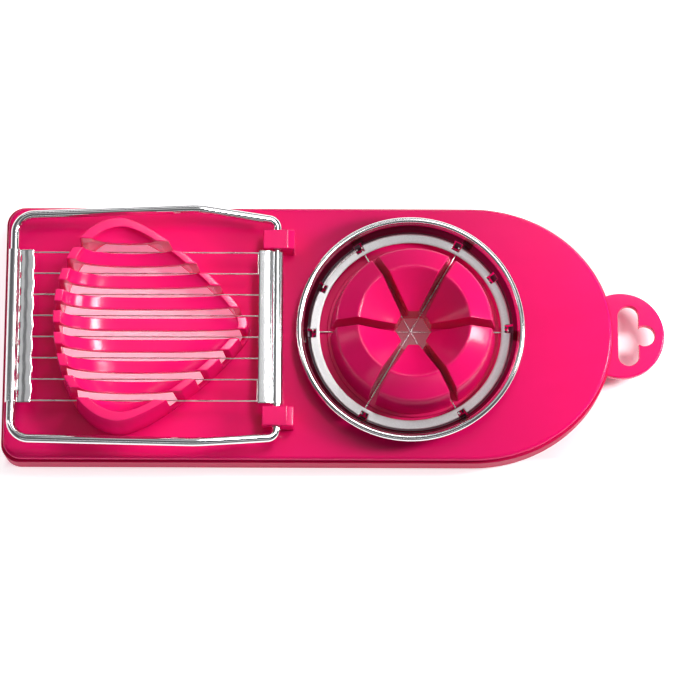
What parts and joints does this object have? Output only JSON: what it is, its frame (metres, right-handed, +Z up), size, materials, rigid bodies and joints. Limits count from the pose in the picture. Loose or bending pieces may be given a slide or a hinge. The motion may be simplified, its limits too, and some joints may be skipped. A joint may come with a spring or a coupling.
{
  "type": "egg slicer",
  "caption": "Board with a slotted egg cradle under a hinged wire frame, a petal cup with a loose wire wedging ring, and a hanging tab.",
  "frame": {"origin": "on the surface that the board stands on, under the middle of the whole length with its hanging tab", "axes": "+X along the board from the slicer end to the hanging tab, +Y to the rear, +Z up"},
  "size_m": [0.216, 0.0852, 0.0355],
  "materials": {
    "pink_plastic": "glossy moulded",
    "bright_rod": "bright plated",
    "pressed_plate": "bright pressed sheet",
    "polished_ring": "polished",
    "steel_wire": "drawn bright"
  },
  "bodies": {
    "root": {"base_shell": "pink_plastic", "hinge_hook_front": "pink_plastic", "hinge_hook_rear": "pink_plastic", "slicing_cradle": "pink_plastic", "top_deck": "pink_plastic", "wedge_cup": "pink_plastic"},
    "slicer_frame": {"frame_rod": "bright_rod", "far_wire_plate": "pressed_plate", "hinge_wire_plate": "pressed_plate", "slicing_wire_1": "steel_wire", "slicing_wire_2": "steel_wire", "slicing_wire_3": "steel_wire", "slicing_wire_4": "steel_wire", "slicing_wire_5": "steel_wire", "slicing_wire_6": "steel_wire", "slicing_wire_7": "steel_wire", "slicing_wire_8": "steel_wire", "slicing_wire_returns": "steel_wire"},
    "wedging_ring": {"ring_band": "polished_ring", "wedge_wire_1": "steel_wire", "wedge_wire_2": "steel_wire", "wedge_wire_3": "steel_wire", "wedge_wire_lacing": "steel_wire"}
  },
  "joints": [
    {"name": "frame_hinge", "type": "hinge", "parent": "root", "child": "slicer_frame", "pos_m": [-0.0186, 0, 0.0186], "axis": [0, 1, 0], "range_deg": [0, 90]},
    {"name": "ring_lift", "type": "slide", "parent": "root", "child": "wedging_ring", "axis": [0, 0, 1], "range_m": [0, 0.06]}
  ]
}
